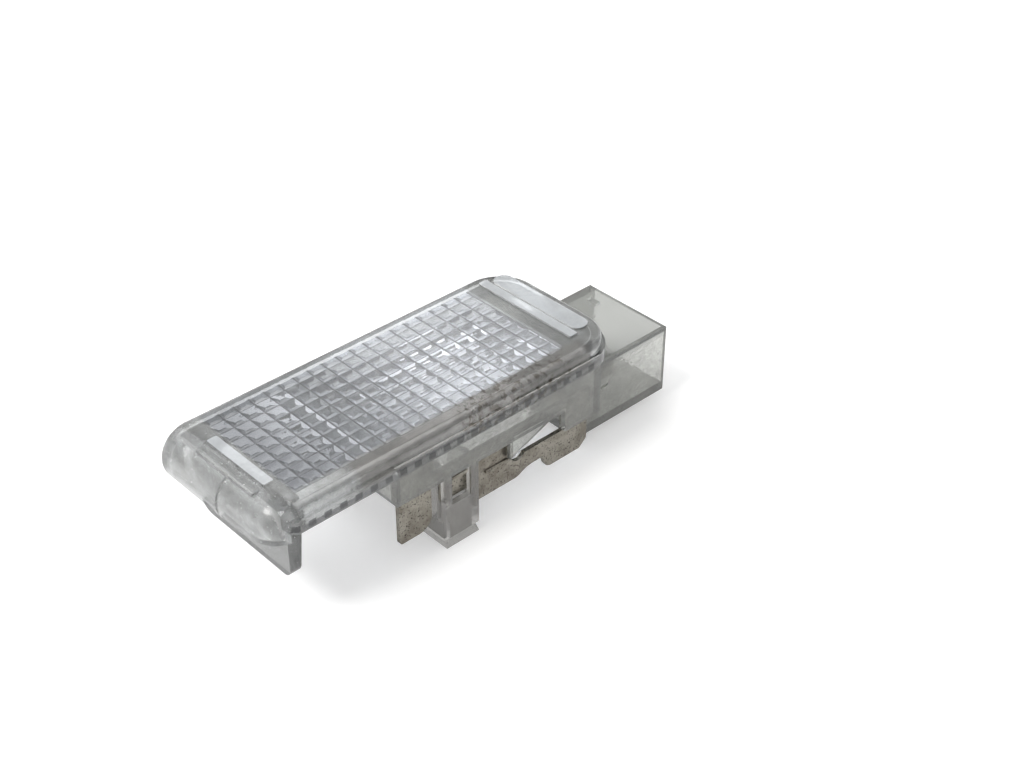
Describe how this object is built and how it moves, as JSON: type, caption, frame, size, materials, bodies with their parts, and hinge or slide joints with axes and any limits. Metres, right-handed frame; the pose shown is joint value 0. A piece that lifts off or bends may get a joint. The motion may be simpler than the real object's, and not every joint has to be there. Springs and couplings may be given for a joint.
{
  "type": "car interior light",
  "caption": "Clear snap-in car interior light: prism lens with rolled hook nose on a clear housing, folded sheet contacts, wedge bulb and rectangular plug socket.",
  "frame": {"origin": "middle of the lens in plan, on the plane where its rim meets the trim panel", "axes": "+X from the hooked nose to the plug socket, +Y to the far long side, +Z out of the panel into the cabin"},
  "size_m": [0.0778, 0.026, 0.0223],
  "materials": {
    "lens_plastic": "clear, polished moulding",
    "housing_plastic": "clear moulding, slightly grey",
    "contact_metal": "tinned sheet, dulled brownish grey with dark specks",
    "bulb_glass": "clear glass",
    "filament_wire": "dull grey wire",
    "lead_wire": "bright drawn wire"
  },
  "bodies": {
    "root": {"lens": "lens_plastic", "housing": "housing_plastic", "near_contact": "contact_metal", "far_contact": "contact_metal", "bulb_glass": "bulb_glass", "bulb_filament": "filament_wire", "bulb_lead_near": "lead_wire", "bulb_lead_far": "lead_wire"}
  },
  "joints": []
}
